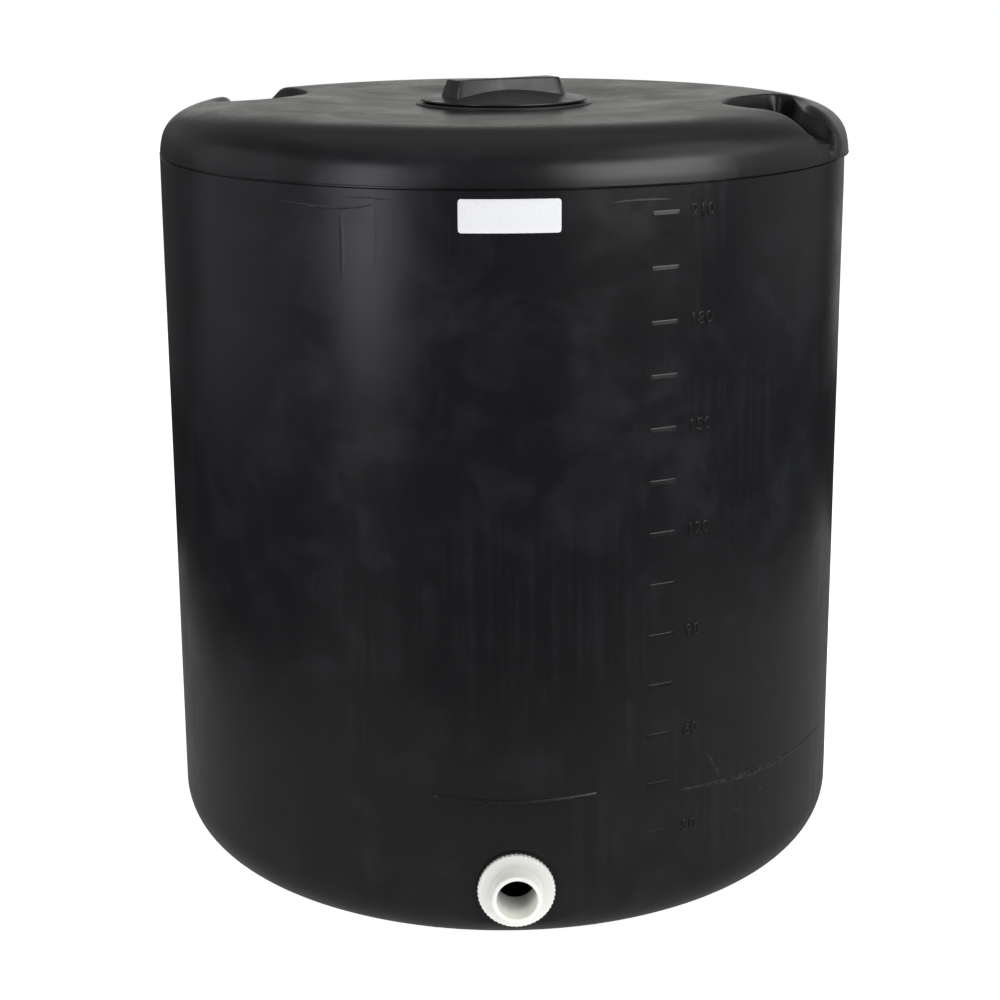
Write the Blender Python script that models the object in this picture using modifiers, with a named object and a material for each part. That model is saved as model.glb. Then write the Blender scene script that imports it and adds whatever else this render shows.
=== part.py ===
# Vertical storage tank, rotationally moulded in black polyethylene, with a screw lid and a bottom outlet.
# Metres, +Z up. The origin is the middle of the base, on the floor, and the outlet faces -Y.
# Angles round the tank are in degrees from the outlet, anticlockwise seen from above, so +X is at 90.

import math

import bmesh
import bpy
from mathutils import Matrix, Vector

# Shell
TANK_RADIUS = 0.508
SKIN = 0.006
SEAM_HEIGHT = 1.053
BASE_ROUNDING = 0.075
FOOT_STEPS = 6
WALL_SEGMENTS = 12
FACET = 5.0
TOUCH = 0.0003

# Top half of the mould: a little wider than the wall, and a little to +X of it
DOME_RADIUS = 0.5105
DOME_SHIFT = 0.003
DOME_SKIRT = 0.003
SHOULDER_REACH = 0.105
SHOULDER_RISE = 0.0665
SHOULDER_POWER = 2.5
SHOULDER_STEPS = 10
DECK_HEIGHT = SEAM_HEIGHT + DOME_SKIRT + SHOULDER_RISE
DECK_RADIUS = 0.312
DECK_SAG = 0.0065
SAG_RADIUS = 0.160
DOME_CENTRE = (DOME_SHIFT, 0.0)

# Flat for the outlet, pressed into the foot of the wall
FLAT_WIDTH = 0.219
FLAT_TOP = 0.216
FLAT_PLANE = math.sqrt(TANK_RADIUS ** 2 - (FLAT_WIDTH / 2) ** 2)

# Two lifting lugs of one plan, each with a hand pocket behind it and a channel out of one end.
# The plan is of the right lug, about the dome's middle, and each lug has its own turn.
RIGHT_LUG_TURN = -1.6
LEFT_LUG_TURN = 173.0
POCKET_FLOOR = 1.068
POCKET_TOP = 1.150
LUG_FACE = [(0.414, 0.060), (0.430, 0.050), (0.438, 0.025), (0.436, -0.045), (0.436, -0.090), (0.448, -0.141),
            (0.463, -0.190)]
MOUTH_OUTSIDE = [(0.490, -0.205), (0.476, -0.242)]
POCKET_INSIDE = [(0.451, -0.237), (0.442, -0.252), (0.430, -0.266), (0.416, -0.274), (0.403, -0.266),
                 (0.390, -0.244), (0.366, -0.204), (0.345, -0.174), (0.325, -0.132), (0.317, -0.092),
                 (0.323, -0.056), (0.341, -0.013), (0.367, 0.023), (0.395, 0.049)]

# Shoulder nodes, each from one angle to the next; a pocket lies well inside its node
PLAIN_SHOULDERS = [("shoulder_front", -35, 5), ("shoulder_front_right", 5, 45), ("shoulder_back_right", 115, 165),
                   ("shoulder_back_left", 165, 215), ("shoulder_front_left", 285, 325)]
LUG_SHOULDERS = [("shoulder_right", 45, 115, RIGHT_LUG_TURN), ("shoulder_left", 215, 285, LEFT_LUG_TURN)]

# Lid, its collar and its seal
NECK_RADIUS = 0.1088
COLLAR_RADIUS = 0.1315
COLLAR_LIP = 0.0030
COLLAR_BARREL = 0.1084
COLLAR_BORE = 0.1010
COLLAR_DEPTH = 0.036
SEAL_INNER = 0.1025
SEAL_OUTER = 0.1160
SEAL_THICKNESS = 0.0014
LID_RADIUS = 0.1235
LID_SKIN = 0.0035
LID_RIM = 0.0025
LID_CROWN = 0.013
LID_SKIRT_OUTER = 0.0985
LID_SKIRT_INNER = 0.0945
LID_SKIRT_DEPTH = 0.026
GRIP_LENGTH = 0.175
GRIP_END_WIDTH = 0.050
GRIP_WAIST = 0.026
GRIP_HEIGHT = 0.0315
GRIP_TURN = 23.5
GRIP_DRAFT = 0.0035
GRIP_SKIN = 0.004

# Outlet fitting: distances are out from the tank's middle line
OUTLET_HEIGHT = 0.088
OUTLET_HOLE = 0.0340
BARREL_RADIUS = 0.0335
OUTLET_BORE = 0.0279
GASKET_RADIUS = 0.0548
GASKET_THICKNESS = 0.0035
FLANGE_RADIUS = 0.0537
FLANGE_THICKNESS = 0.0075
HUB_RADIUS = 0.0350
HUB_FRONT = FLAT_PLANE + 0.0370
BARREL_INSIDE = 0.022
NUT_RADIUS = 0.0480
NUT_THICKNESS = 0.016
ROUND_FACET = 7.5

# Blank label
LABEL_WIDTH = 0.1318
LABEL_HEIGHT = 0.0450
LABEL_MIDDLE = 1.0173
LABEL_TURN = -0.6
LABEL_THICKNESS = 0.0006

CLEAR = 0.002


def collection(name):
    made = bpy.data.collections.new(name)
    bpy.context.scene.collection.children.link(made)
    return made


def material(name, colour, roughness, metallic=0.0):
    made = bpy.data.materials.new(name)
    made.use_nodes = True
    shader = made.node_tree.nodes["Principled BSDF"]
    shader.inputs["Base Color"].default_value = (*colour, 1.0)
    shader.inputs["Roughness"].default_value = roughness
    shader.inputs["Metallic"].default_value = metallic
    made.diffuse_color = (*colour, 1.0)
    return made


def add_object(name, mesh, home, finish=None):
    """Links a mesh as a named piece with its finish, or as a cutter where it has none."""
    made = bpy.data.objects.new(name, mesh)
    home.objects.link(made)
    if finish:
        mesh.materials.append(finish)
    else:
        made.hide_render = True
        made.display_type = "WIRE"
    return made


def closed_mesh(name, bm):
    bmesh.ops.remove_doubles(bm, verts=bm.verts, dist=1e-6)
    bmesh.ops.recalc_face_normals(bm, faces=bm.faces)
    mesh = bpy.data.meshes.new(name)
    bm.to_mesh(mesh)
    bm.free()
    mesh.shade_smooth()
    mesh.set_sharp_from_angle(angle=math.radians(30))
    return mesh


def turned(name, section, home, finish=None, centre=(0.0, 0.0), facet=FACET):
    """Turns a section of (radius, height) points, running up its outer side, a full turn about its axis."""
    mesh = bpy.data.meshes.new(name)
    points = [(radius, 0.0, height) for radius, height in reversed(section)]
    edges = [(i, i + 1) for i in range(len(points) - 1)]
    if min(radius for radius, _ in section) > 0:
        edges.append((len(points) - 1, 0))
    mesh.from_pydata(points, edges, [])
    made = add_object(name, mesh, home, finish)
    made.location = (*centre, 0.0)
    screw = made.modifiers.new("turn", "SCREW")
    screw.angle = math.tau
    screw.steps = screw.render_steps = round(360 / facet)
    screw.use_merge_vertices = True
    screw.merge_threshold = 1e-5
    screw.use_smooth_shade = True
    return made


def sector(name, section, start, sweep, home, finish=None, centre=(0.0, 0.0), facet=FACET):
    """Turns a closed section part of the way round the tank, from one angle through another."""
    bm = bmesh.new()
    place = Matrix.Translation((*centre, 0.0)) @ Matrix.Rotation(math.radians(start), 4, "Z")
    face = bm.faces.new([bm.verts.new(place @ Vector((0.0, -radius, height))) for radius, height in section])
    bmesh.ops.spin(bm, geom=[face], cent=(*centre, 0.0), axis=(0, 0, 1), angle=math.radians(sweep),
                   steps=max(1, round(sweep / facet)))
    return add_object(name, closed_mesh(name, bm), home, finish)


def loft(name, lower, upper, low, high, home, finish=None):
    """Joins a closed plan outline at one height to one of as many points at another height."""
    bm = bmesh.new()
    floor = [bm.verts.new((x, y, low)) for x, y in lower]
    roof = [bm.verts.new((x, y, high)) for x, y in upper]
    bm.faces.new(floor)
    bm.faces.new(roof)
    for i in range(len(floor)):
        bm.faces.new((floor[i - 1], floor[i], roof[i], roof[i - 1]))
    return add_object(name, closed_mesh(name, bm), home, finish)


def prism(name, outline, low, high, home, finish=None):
    """Raises a closed plan outline from one height to another."""
    return loft(name, outline, outline, low, high, home, finish)


def box_cutter(name, low, high, home):
    bm = bmesh.new()
    bmesh.ops.create_cube(bm, size=1.0)
    bmesh.ops.scale(bm, verts=bm.verts, vec=Vector(high) - Vector(low))
    bmesh.ops.translate(bm, verts=bm.verts, vec=(Vector(low) + Vector(high)) / 2)
    return add_object(name, closed_mesh(name, bm), home)


def combine(target, other, operation="DIFFERENCE"):
    modifier = target.modifiers.new(other.name, "BOOLEAN")
    modifier.operation = operation
    modifier.solver = "EXACT"
    modifier.object = other


def round_edges(target, width, segments, limit=40.0):
    modifier = target.modifiers.new("rounding", "BEVEL")
    modifier.width = width
    modifier.segments = segments
    modifier.limit_method = "ANGLE"
    modifier.angle_limit = math.radians(limit)


def arc(centre, radius, start, end, steps):
    """Points on an arc in a section, from one angle to another in degrees, both ends included."""
    angles = [math.radians(start + (end - start) * i / steps) for i in range(steps + 1)]
    return [(centre[0] + radius * math.cos(a), centre[1] + radius * math.sin(a)) for a in angles]


def smoothed(points, parts=2):
    """Points on an even curve through the given ones, ends included."""
    line = []
    last = len(points) - 1
    for i in range(last):
        before, start = Vector(points[max(i - 1, 0)]), Vector(points[i])
        end, after = Vector(points[i + 1]), Vector(points[min(i + 2, last)])
        for j in range(parts):
            t = j / parts
            pull = (2 * before - 5 * start + 4 * end - after) * t ** 2
            swing = (3 * start - before - 3 * end + after) * t ** 3
            line.append(tuple(0.5 * (2 * start + (end - before) * t + pull + swing)))
    return line + [tuple(points[last])]


def grown(outline, distance):
    """A closed plan outline moved outwards; a list that runs clockwise grows by a minus distance."""
    moved = []
    count = len(outline)
    for i, point in enumerate(outline):
        before = (Vector(point) - Vector(outline[i - 1])).normalized()
        after = (Vector(outline[(i + 1) % count]) - Vector(point)).normalized()
        along = (before + after).normalized()
        outward = Vector((along.y, -along.x))
        moved.append(tuple(Vector(point) + outward * distance / max(0.6, along.dot(after))))
    return moved


def wall_profile(inset):
    """The rounded foot of the wall, from the floor plate's edge up to the straight side."""
    corner = (TANK_RADIUS - BASE_ROUNDING, BASE_ROUNDING)
    return arc(corner, BASE_ROUNDING - inset, -90, 0, FOOT_STEPS)


def make_wall(home, cutters, finish):
    span = 360.0 / WALL_SEGMENTS
    gap = math.degrees(TOUCH / TANK_RADIUS)
    top = SEAM_HEIGHT - TOUCH
    inside = wall_profile(SKIN)
    section = wall_profile(0) + [(TANK_RADIUS, top), (TANK_RADIUS - SKIN, top)] + inside[::-1]
    for number in range(1, WALL_SEGMENTS):
        sector(f"wall_segment_{number + 1:02d}", section, number * span - span / 2 + gap / 2, span - gap,
               home, finish)

    core = TANK_RADIUS - 3 * BASE_ROUNDING
    solid = [(core, 0.0)] + wall_profile(0) + [(TANK_RADIUS, top), (core, top)]
    front = sector("wall_segment_01", solid, -span / 2 + gap / 2, span - gap, home, finish)
    far = TANK_RADIUS + CLEAR
    pressed = box_cutter("flat_cutter", (-FLAT_WIDTH, -far, -0.02), (FLAT_WIDTH, -FLAT_PLANE, FLAT_TOP), cutters)
    combine(front, pressed)

    start_radius = inside[0][0]
    hollow_core = core - 3 * BASE_ROUNDING
    hollow = [(hollow_core, -CLEAR), (start_radius, -CLEAR)] + inside
    hollow += [(TANK_RADIUS - SKIN, SEAM_HEIGHT + CLEAR), (hollow_core, SEAM_HEIGHT + CLEAR)]
    emptied = sector("front_hollow_cutter", hollow, -span / 2 - FACET, span + 2 * FACET, cutters)
    kept = box_cutter("behind_flat_cutter", (-2 * FLAT_WIDTH, -far, -0.04),
                      (2 * FLAT_WIDTH, SKIN - FLAT_PLANE, FLAT_TOP + SKIN), cutters)
    combine(emptied, kept)
    combine(front, emptied)
    hole = [(0.0, FLAT_PLANE - 0.05), (OUTLET_HOLE, FLAT_PLANE - 0.05), (OUTLET_HOLE, FLAT_PLANE + 0.05),
            (0.0, FLAT_PLANE + 0.05)]
    combine(front, outlet_piece("outlet_hole_cutter", hole, cutters))


def make_floor(home, finish):
    edge = TANK_RADIUS - BASE_ROUNDING - TOUCH
    turned("floor_plate", [(0.0, 0.0), (edge, 0.0), (edge, SKIN), (0.0, SKIN)], home, finish)


def dome_profile(inset):
    """The outer side of the mould's top half, from the seam up and in to the flat deck."""
    line = [(DOME_RADIUS - inset, SEAM_HEIGHT)]
    for i in range(SHOULDER_STEPS + 1):
        turn = math.radians(90 * i / SHOULDER_STEPS)
        inward = (SHOULDER_REACH - inset) * (1 - math.cos(turn) ** (2 / SHOULDER_POWER))
        upward = (SHOULDER_RISE - inset) * math.sin(turn) ** (2 / SHOULDER_POWER)
        line.append((DOME_RADIUS - inset - inward, SEAM_HEIGHT + DOME_SKIRT + upward))
    return line


def pocket_outline(lug_turn):
    """The plan of one lug's pocket and channel, clockwise seen from above."""
    outline = smoothed(LUG_FACE) + MOUTH_OUTSIDE + smoothed(POCKET_INSIDE)
    turn = Matrix.Rotation(math.radians(lug_turn), 2)
    return [tuple(turn @ Vector(point) + Vector(DOME_CENTRE)) for point in outline]


def make_shoulder(home, cutters, finish):
    deck_edge = DECK_RADIUS + TOUCH
    gap = math.degrees(TOUCH / DOME_RADIUS)
    outside, inside = dome_profile(0), dome_profile(SKIN)
    shell = outside + [(deck_edge, DECK_HEIGHT), (deck_edge, DECK_HEIGHT - SKIN)] + inside[::-1]
    for name, start, end in PLAIN_SHOULDERS:
        sector(name, shell, start + gap / 2, end - start - gap, home, finish, DOME_CENTRE)

    solid = [(deck_edge, SEAM_HEIGHT)] + outside + [(deck_edge, DECK_HEIGHT)]
    core, below = DECK_RADIUS / 2, SEAM_HEIGHT - CLEAR
    hollow = [(core, below), (inside[0][0], below)] + inside[1:] + [(core, DECK_HEIGHT - SKIN)]
    for name, start, end, lug_turn in LUG_SHOULDERS:
        made = sector(name, solid, start + gap / 2, end - start - gap, home, finish, DOME_CENTRE)
        outline = pocket_outline(lug_turn)
        combine(made, prism(f"{name}_pocket_cutter", outline, POCKET_FLOOR, POCKET_TOP, cutters))
        emptied = sector(f"{name}_hollow_cutter", hollow, start - FACET, end - start + 2 * FACET, cutters, None,
                         DOME_CENTRE)
        combine(emptied, prism(f"{name}_pocket_skin", grown(outline, -SKIN), POCKET_FLOOR - SKIN,
                               POCKET_TOP + SKIN, cutters))
        combine(made, emptied)


def make_deck(home, finish):
    """The deck has sagged a little towards the lid."""
    line = [(NECK_RADIUS, DECK_HEIGHT - DECK_SAG), (SAG_RADIUS, DECK_HEIGHT - DECK_SAG), (DECK_RADIUS, DECK_HEIGHT)]
    below = [(radius, height - SKIN) for radius, height in line]
    turned("roof_deck", below + line[::-1], home, finish, DOME_CENTRE)


def make_collar(home, black, rubber):
    seat = DECK_HEIGHT - DECK_SAG + TOUCH
    lip = seat + COLLAR_LIP
    section = [(COLLAR_BORE, lip - COLLAR_DEPTH), (COLLAR_BARREL, lip - COLLAR_DEPTH), (COLLAR_BARREL, seat),
               (COLLAR_RADIUS, seat), (COLLAR_RADIUS, lip - 0.001), (COLLAR_RADIUS - 0.001, lip),
               (COLLAR_BORE, lip)]
    turned("lid_collar", section, home, black, DOME_CENTRE)
    low = lip + TOUCH
    high = low + SEAL_THICKNESS
    section = [(SEAL_INNER, low), (SEAL_OUTER, low), (SEAL_OUTER, high), (SEAL_INNER, high)]
    turned("lid_seal", section, home, rubber, DOME_CENTRE)
    return high + TOUCH


def grip_outline(inset):
    """The plan of the bow-tie grip, anticlockwise: straight ends and hollow sides."""
    half, end, waist = GRIP_LENGTH / 2 - inset, GRIP_END_WIDTH / 2 - inset, GRIP_WAIST / 2 - inset
    steps = 8
    side = []
    for i in range(steps + 1):
        x = half * (1 - 2 * i / steps)
        side.append((x, waist + (end - waist) * abs(x / half) ** 1.6))
    outline = side + [(x, -y) for x, y in reversed(side)]
    turn = Matrix.Rotation(math.radians(GRIP_TURN), 2)
    return [tuple(turn @ Vector(point) + Vector(DOME_CENTRE)) for point in outline]


def make_lid(home, cutters, finish, seat):
    """The lid's disc, skirt and grip are one moulding, and the grip is hollow from below."""
    crown = [(LID_RADIUS * (1 - i / 6), seat + LID_RIM + LID_CROWN * math.sin(math.radians(15 * i)) ** 1.5)
             for i in range(7)]
    under = [(LID_SKIRT_INNER * i / 4, seat + LID_RIM + LID_CROWN - LID_SKIN - 0.009 * (i / 4) ** 2)
             for i in range(5)]
    skirt_foot = seat - LID_SKIRT_DEPTH
    section = under[:-1] + [(LID_SKIRT_INNER, seat + LID_SKIN / 2), (LID_SKIRT_INNER, skirt_foot),
                            (LID_SKIRT_OUTER, skirt_foot), (LID_SKIRT_OUTER, seat), (LID_RADIUS, seat)]
    lid = turned("lid_cap", section + crown, home, finish, DOME_CENTRE)
    inside_top = seat + GRIP_HEIGHT - GRIP_SKIN
    grip = loft("grip_block", grip_outline(-GRIP_DRAFT), grip_outline(GRIP_DRAFT), seat + LID_SKIN,
                seat + GRIP_HEIGHT, cutters)
    round_edges(grip, 0.002, 2)
    combine(lid, grip, "UNION")
    hollow = grip_outline(GRIP_DRAFT + GRIP_SKIN)
    combine(lid, prism("grip_hollow_cutter", hollow, skirt_foot, inside_top, cutters))


def outlet_piece(name, section, home, finish=None):
    """Turns a section about the outlet's own axis, which runs out of the flat towards -Y."""
    made = turned(name, section, home, finish, facet=ROUND_FACET)
    made.rotation_euler = (math.radians(90), 0.0, 0.0)
    made.location = (0.0, 0.0, OUTLET_HEIGHT)
    return made


def make_outlet(home, natural, rubber):
    face = FLAT_PLANE + TOUCH
    back = face + GASKET_THICKNESS
    ring = BARREL_RADIUS + TOUCH
    outlet_piece("outlet_gasket", [(ring, face), (GASKET_RADIUS, face), (GASKET_RADIUS, back), (ring, back)],
                 home, rubber)
    flange = back + TOUCH
    front = flange + FLANGE_THICKNESS
    end = FLAT_PLANE - SKIN - BARREL_INSIDE
    section = [(OUTLET_BORE, end), (BARREL_RADIUS, end), (BARREL_RADIUS, flange), (FLANGE_RADIUS, flange),
               (FLANGE_RADIUS, front - 0.002), (FLANGE_RADIUS - 0.002, front), (HUB_RADIUS, front),
               (HUB_RADIUS, HUB_FRONT - 0.003), (HUB_RADIUS - 0.003, HUB_FRONT), (OUTLET_BORE + 0.001, HUB_FRONT),
               (OUTLET_BORE, HUB_FRONT - 0.001)]
    outlet_piece("outlet_fitting", section, home, natural)
    nut_face = FLAT_PLANE - SKIN - TOUCH
    nut_back = nut_face - NUT_THICKNESS
    section = [(ring, nut_back), (NUT_RADIUS - 0.003, nut_back), (NUT_RADIUS, nut_back + 0.003),
               (NUT_RADIUS, nut_face), (ring, nut_face)]
    outlet_piece("outlet_nut", section, home, natural)


def make_label(home, finish):
    inner = TANK_RADIUS + TOUCH
    outer = inner + LABEL_THICKNESS
    low, high = LABEL_MIDDLE - LABEL_HEIGHT / 2, LABEL_MIDDLE + LABEL_HEIGHT / 2
    sweep = math.degrees(LABEL_WIDTH / TANK_RADIUS)
    sector("front_label", [(inner, low), (outer, low), (outer, high), (inner, high)], LABEL_TURN - sweep / 2,
           sweep, home, finish, facet=sweep / 6)


def main():
    for old in list(bpy.data.objects):
        bpy.data.objects.remove(old, do_unlink=True)
    parts = collection("vertical_tank")
    cutters = collection("cutters")
    black = material("black_polyethylene", (0.018, 0.018, 0.019), 0.45)
    lid_black = material("black_polypropylene", (0.022, 0.022, 0.023), 0.38)
    rubber = material("black_rubber", (0.012, 0.012, 0.012), 0.7)
    natural = material("natural_polypropylene", (0.72, 0.73, 0.70), 0.35)
    paper = material("white_vinyl", (0.85, 0.86, 0.87), 0.4)
    make_floor(parts, black)
    make_wall(parts, cutters, black)
    make_shoulder(parts, cutters, black)
    make_deck(parts, black)
    seat = make_collar(parts, lid_black, rubber)
    make_lid(parts, cutters, lid_black, seat)
    make_outlet(parts, natural, rubber)
    make_label(parts, paper)


main()
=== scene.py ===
import math

import bmesh
import bpy
import numpy as np
from bpy.props import FloatProperty, FloatVectorProperty, IntProperty, PointerProperty
from mathutils import Matrix, Vector


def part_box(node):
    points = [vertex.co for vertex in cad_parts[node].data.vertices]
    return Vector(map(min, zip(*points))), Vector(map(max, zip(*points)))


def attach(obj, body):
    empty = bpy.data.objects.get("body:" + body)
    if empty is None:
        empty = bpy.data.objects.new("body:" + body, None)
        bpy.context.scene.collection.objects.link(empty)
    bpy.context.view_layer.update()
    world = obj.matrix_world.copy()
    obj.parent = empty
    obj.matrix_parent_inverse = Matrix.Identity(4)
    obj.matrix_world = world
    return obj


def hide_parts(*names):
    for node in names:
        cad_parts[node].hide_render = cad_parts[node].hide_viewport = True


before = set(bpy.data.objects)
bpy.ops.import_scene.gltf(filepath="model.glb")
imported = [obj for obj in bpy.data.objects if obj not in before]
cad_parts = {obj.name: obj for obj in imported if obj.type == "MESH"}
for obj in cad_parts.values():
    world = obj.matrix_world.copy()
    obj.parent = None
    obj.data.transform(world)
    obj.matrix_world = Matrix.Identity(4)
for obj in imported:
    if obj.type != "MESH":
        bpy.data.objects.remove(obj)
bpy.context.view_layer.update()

bl_info = {
    "name": "Upright Storage Tank",
    "version": (1, 0, 0),
    "blender": (4, 5, 0),
    "location": "3D View > Sidebar > Tank",
    "description": "Builds the looks of a rotationally moulded plastic tank round its CAD model",
    "category": "Object",
}

# Metres, with the frame's axes. Azimuths are degrees round the tank from the outlet, towards +X.
TANK_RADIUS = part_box("wall_segment_04")[1].x
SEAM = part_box("wall_segment_04")[1].z
BASE_ROUNDING = TANK_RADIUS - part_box("floor_plate")[1].x
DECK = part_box("roof_deck")[1].z
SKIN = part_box("floor_plate")[1].z
DECK_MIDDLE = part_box("roof_deck")[0].z + SKIN
DOME_X = (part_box("roof_deck")[0].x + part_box("roof_deck")[1].x) / 2
DOME_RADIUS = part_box("shoulder_right")[1].x - DOME_X
FLAT_PLANE = -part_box("outlet_gasket")[1].y
OUTLET_HEIGHT = (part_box("outlet_fitting")[0].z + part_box("outlet_fitting")[1].z) / 2
WALL_NODES = [f"wall_segment_{number:02d}" for number in range(1, 13)]
SHOULDER_SIDES = ("front", "front_right", "right", "back_right", "back_left", "left", "front_left")
SHOULDER_NODES = [f"shoulder_{side}" for side in SHOULDER_SIDES]
# Neighbouring pieces stand this far apart
CLEARANCE = 0.0003

# Flat for the outlet, and the lip of plastic that stands along its top edge and at its ends
FLAT_TOP = 0.2155
FLAT_HALF = 0.1095
FLAT_BOW = 0.0055
FLAT_LIP = 0.0018
FLAT_END_LIP = 0.0006
FLAT_SOFTNESS = 0.0004

# Top half of the mould: a short skirt that leans in stands over the wall, which is drawn in below its lip
DOME_SKIRT = 0.003
SKIRT_LEAN, LEAN_HEIGHT = 0.0014, 0.018
SEAM_GAP = 0.0018
SHOULDER_REACH = 0.105
SHOULDER_POWER = 2.5
SAG_RADIUS, SAG_RIM = 0.160, 0.306
NECK_RADIUS = 0.1088

# Lifting lugs: their turns, the azimuths they take up, and a pocket's plan about the dome's middle
LUG_TURNS = (-1.6, 173.0)
LUG_ZONES = ((49.0, 103.0), (222.0, 279.0))
POCKET_FLOOR = 1.068
LUG_ROUNDING = 0.0125
LUG_FACE = [(0.414, 0.060), (0.430, 0.050), (0.438, 0.025), (0.436, -0.045), (0.436, -0.090),
            (0.448, -0.141), (0.463, -0.190)]
MOUTH_OUTSIDE = [(0.490, -0.205), (0.476, -0.242)]
POCKET_INSIDE = [(0.451, -0.237), (0.442, -0.252), (0.430, -0.266), (0.416, -0.274), (0.403, -0.266),
                 (0.390, -0.244), (0.366, -0.204), (0.345, -0.174), (0.325, -0.132), (0.317, -0.092),
                 (0.323, -0.056), (0.341, -0.013), (0.367, 0.023), (0.395, 0.049)]

# Level marks: the height of the first bar and of each step up, and the US gallons that they stand for
MARK_AZIMUTH, NUMBER_AZIMUTH = 22.9, 27.1
MARK_FIRST, MARK_STEP, MARK_COUNT = 0.1537, 0.0717, 13
GALLONS_FIRST, GALLONS_STEP = 30, 15

# Lid: its thread's pitch, the rows of points down a thread, and how far its grip is turned from the X axis
LID_PITCH, THREAD_STEP = 0.006, 0.0012
GRIP_TURN = 23.5


def linear(code):
    """The linear colour of an sRGB hex value."""
    parts = [int(code[i:i + 2], 16) / 255 for i in (1, 3, 5)]
    return tuple(part / 12.92 if part <= 0.04045 else ((part + 0.055) / 1.055) ** 2.4 for part in parts)


# Settings

class TankShellSettings(bpy.types.PropertyGroup):
    """Sizes and colours of the moulded shell."""
    colour: FloatVectorProperty(name="Plastic", description="Colour of the moulded shell", subtype="COLOR",
                                size=3, min=0, max=1, default=linear("#121315"))
    ripple: FloatProperty(name="Ripple", description="How far the wall waves in and out", unit="LENGTH",
                          default=0.0004)
    # The scuff colour is partly stress whitening and partly a painted reflection of the floor and lights
    scuff: FloatVectorProperty(name="Scuffs", description="Colour where the skin is rubbed or creased",
                               subtype="COLOR", size=3, min=0, max=1, default=linear("#2E2F31"))
    rim: FloatProperty(name="Pocket rim", description="Radius of the pocket's rounded rim", unit="LENGTH",
                       default=0.0045)
    flash: FloatProperty(name="Flash", description="How far the seam's flash stands out", unit="LENGTH",
                         default=0.0012)


class TankMarkSettings(bpy.types.PropertyGroup):
    """Sizes of the level marks and the label."""
    bar_length: FloatProperty(name="Bar length", description="Length of a level bar", unit="LENGTH",
                              default=0.042)
    bar_height: FloatProperty(name="Bar height", description="Height of a level bar", unit="LENGTH",
                              default=0.0075)
    relief: FloatProperty(name="Relief", description="How far a bar stands out", unit="LENGTH",
                          default=0.0013)
    number_height: FloatProperty(name="Number height", description="Height of the numbers", unit="LENGTH",
                                 default=0.0170)
    label_colour: FloatVectorProperty(name="Label", description="Colour of the blank label",
                                      subtype="COLOR", size=3, min=0, max=1, default=linear("#DBDCDF"))


class TankLidSettings(bpy.types.PropertyGroup):
    """Sizes and colours of the lid and its collar."""
    colour: FloatVectorProperty(name="Plastic", description="Colour of the lid and collar", subtype="COLOR",
                                size=3, min=0, max=1, default=linear("#2A2B2D"))
    grip_draft: FloatProperty(name="Grip draft", description="How far the grip's sides lean in",
                              unit="LENGTH", default=0.0035)
    grip_length: FloatProperty(name="Grip length", description="Length of the hand grip", unit="LENGTH",
                               default=0.175)
    grip_end: FloatProperty(name="Grip end", description="Width of the grip at its ends", unit="LENGTH",
                            default=0.050)
    grip_waist: FloatProperty(name="Grip waist", description="Width of the grip at its middle",
                              unit="LENGTH", default=0.026)


class TankOutletSettings(bpy.types.PropertyGroup):
    """Sizes and colour of the outlet fitting."""
    colour: FloatVectorProperty(name="Plastic", description="Colour of the fitting", subtype="COLOR",
                                size=3, min=0, max=1, default=linear("#E6E7E1"))
    teeth: IntProperty(name="Teeth", description="Grip teeth round the flange", default=52, min=12)
    tooth: FloatProperty(name="Tooth depth", description="Depth of the grip teeth", unit="LENGTH",
                         default=0.0012)
    pitch: FloatProperty(name="Thread pitch", description="Pitch of the 2 inch pipe thread", unit="LENGTH",
                         default=0.0022)


class TankStageSettings(bpy.types.PropertyGroup):
    """Light and camera of the studio."""
    surround: FloatProperty(name="Surround", description="Brightness of the dim room round the tank",
                            default=0.15, min=0)
    key: FloatProperty(name="Key", description="Brightness of the wide light on the right of the camera",
                       default=3.8, min=0)
    strip: FloatProperty(name="Strip", description="Brightness of the standing light on the left",
                         default=3.2, min=0)
    sides: FloatProperty(name="Sides", description="Brightness of the dim walls on both sides",
                         default=0.22, min=0)
    back: FloatProperty(name="Back", description="Brightness of the wall behind the tank",
                        default=0.62, min=0)
    front: FloatProperty(name="Front", description="Brightness of the diffuse light high over the camera",
                         default=1.8, min=0)
    glow: FloatProperty(name="Glow", description="Brightness of the floor as the tank's foot mirrors it",
                        default=0.24, min=0)


SETTINGS = {"tank_shell": TankShellSettings, "tank_marks": TankMarkSettings, "tank_lid": TankLidSettings,
            "tank_outlet": TankOutletSettings, "tank_stage": TankStageSettings}


# Materials

def add_node(tree, kind, inputs=None, **options):
    """Adds a node, sets its options, and sets or links its inputs."""
    node = tree.nodes.new(kind)
    for name, value in options.items():
        setattr(node, name, value)
    for name, value in (inputs or {}).items():
        if isinstance(value, bpy.types.NodeSocket):
            tree.links.new(value, node.inputs[name])
        else:
            node.inputs[name].default_value = value
    return node


def new_material(name, colour, roughness, ior, **inputs):
    """A material with the named constants on its shader, and that shader."""
    made = bpy.data.materials.new(name)
    made.use_nodes = True
    made.diffuse_color = (*colour, 1.0)
    shader = made.node_tree.nodes["Principled BSDF"]
    shader.inputs["Base Color"].default_value = (*colour, 1.0)
    shader.inputs["Roughness"].default_value = roughness
    shader.inputs["IOR"].default_value = ior
    for name, value in inputs.items():
        shader.inputs[name.replace("_", " ")].default_value = value
    return made, shader


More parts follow.
